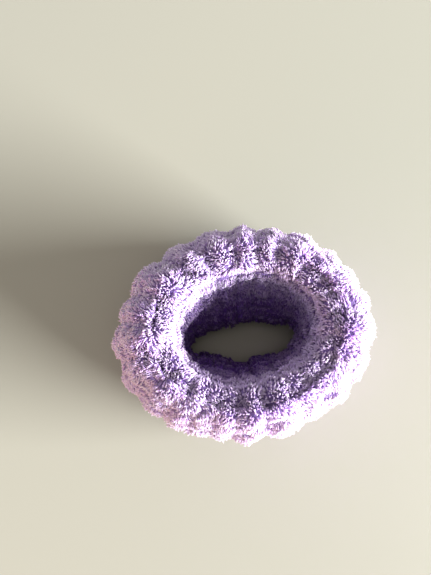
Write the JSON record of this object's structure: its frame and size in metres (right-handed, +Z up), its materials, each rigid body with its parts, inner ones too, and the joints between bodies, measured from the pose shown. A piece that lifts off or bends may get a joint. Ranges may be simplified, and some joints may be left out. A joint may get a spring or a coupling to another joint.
{
  "type": "plush elastic wash band",
  "caption": "Fat gathered ring of lavender coral fleece over an elastic loop, standing on its lower edge, with an oval hole for a wrist.",
  "frame": {"origin": "under the middle of the band's box, on the surface that it stands on", "axes": "+Z up through the hole, +X along the long axis of the oval, +Y across it"},
  "size_m": [0.1098, 0.0908, 0.0521],
  "materials": {
    "plush_outside": "coral fleece pile, matt with a soft sheen",
    "plush_inside": "coral fleece pile, matt with a soft sheen",
    "elastic": "woven elastic, matt",
    "wadding": "polyester wadding, matt",
    "lilac_thread": "polyester thread, slight sheen",
    "white_thread": "polyester thread, slight sheen"
  },
  "bodies": {
    "root": {"outer_panel": "plush_outside", "inner_panel": "plush_inside", "wadding_ring": "wadding", "elastic_band": "elastic", "elastic_lap_stitching": "white_thread", "top_edge_seam": "lilac_thread", "foot_edge_seam": "lilac_thread", "outer_back_seam": "lilac_thread", "inner_back_seam": "lilac_thread", "closing_stitches": "lilac_thread"}
  },
  "joints": []
}
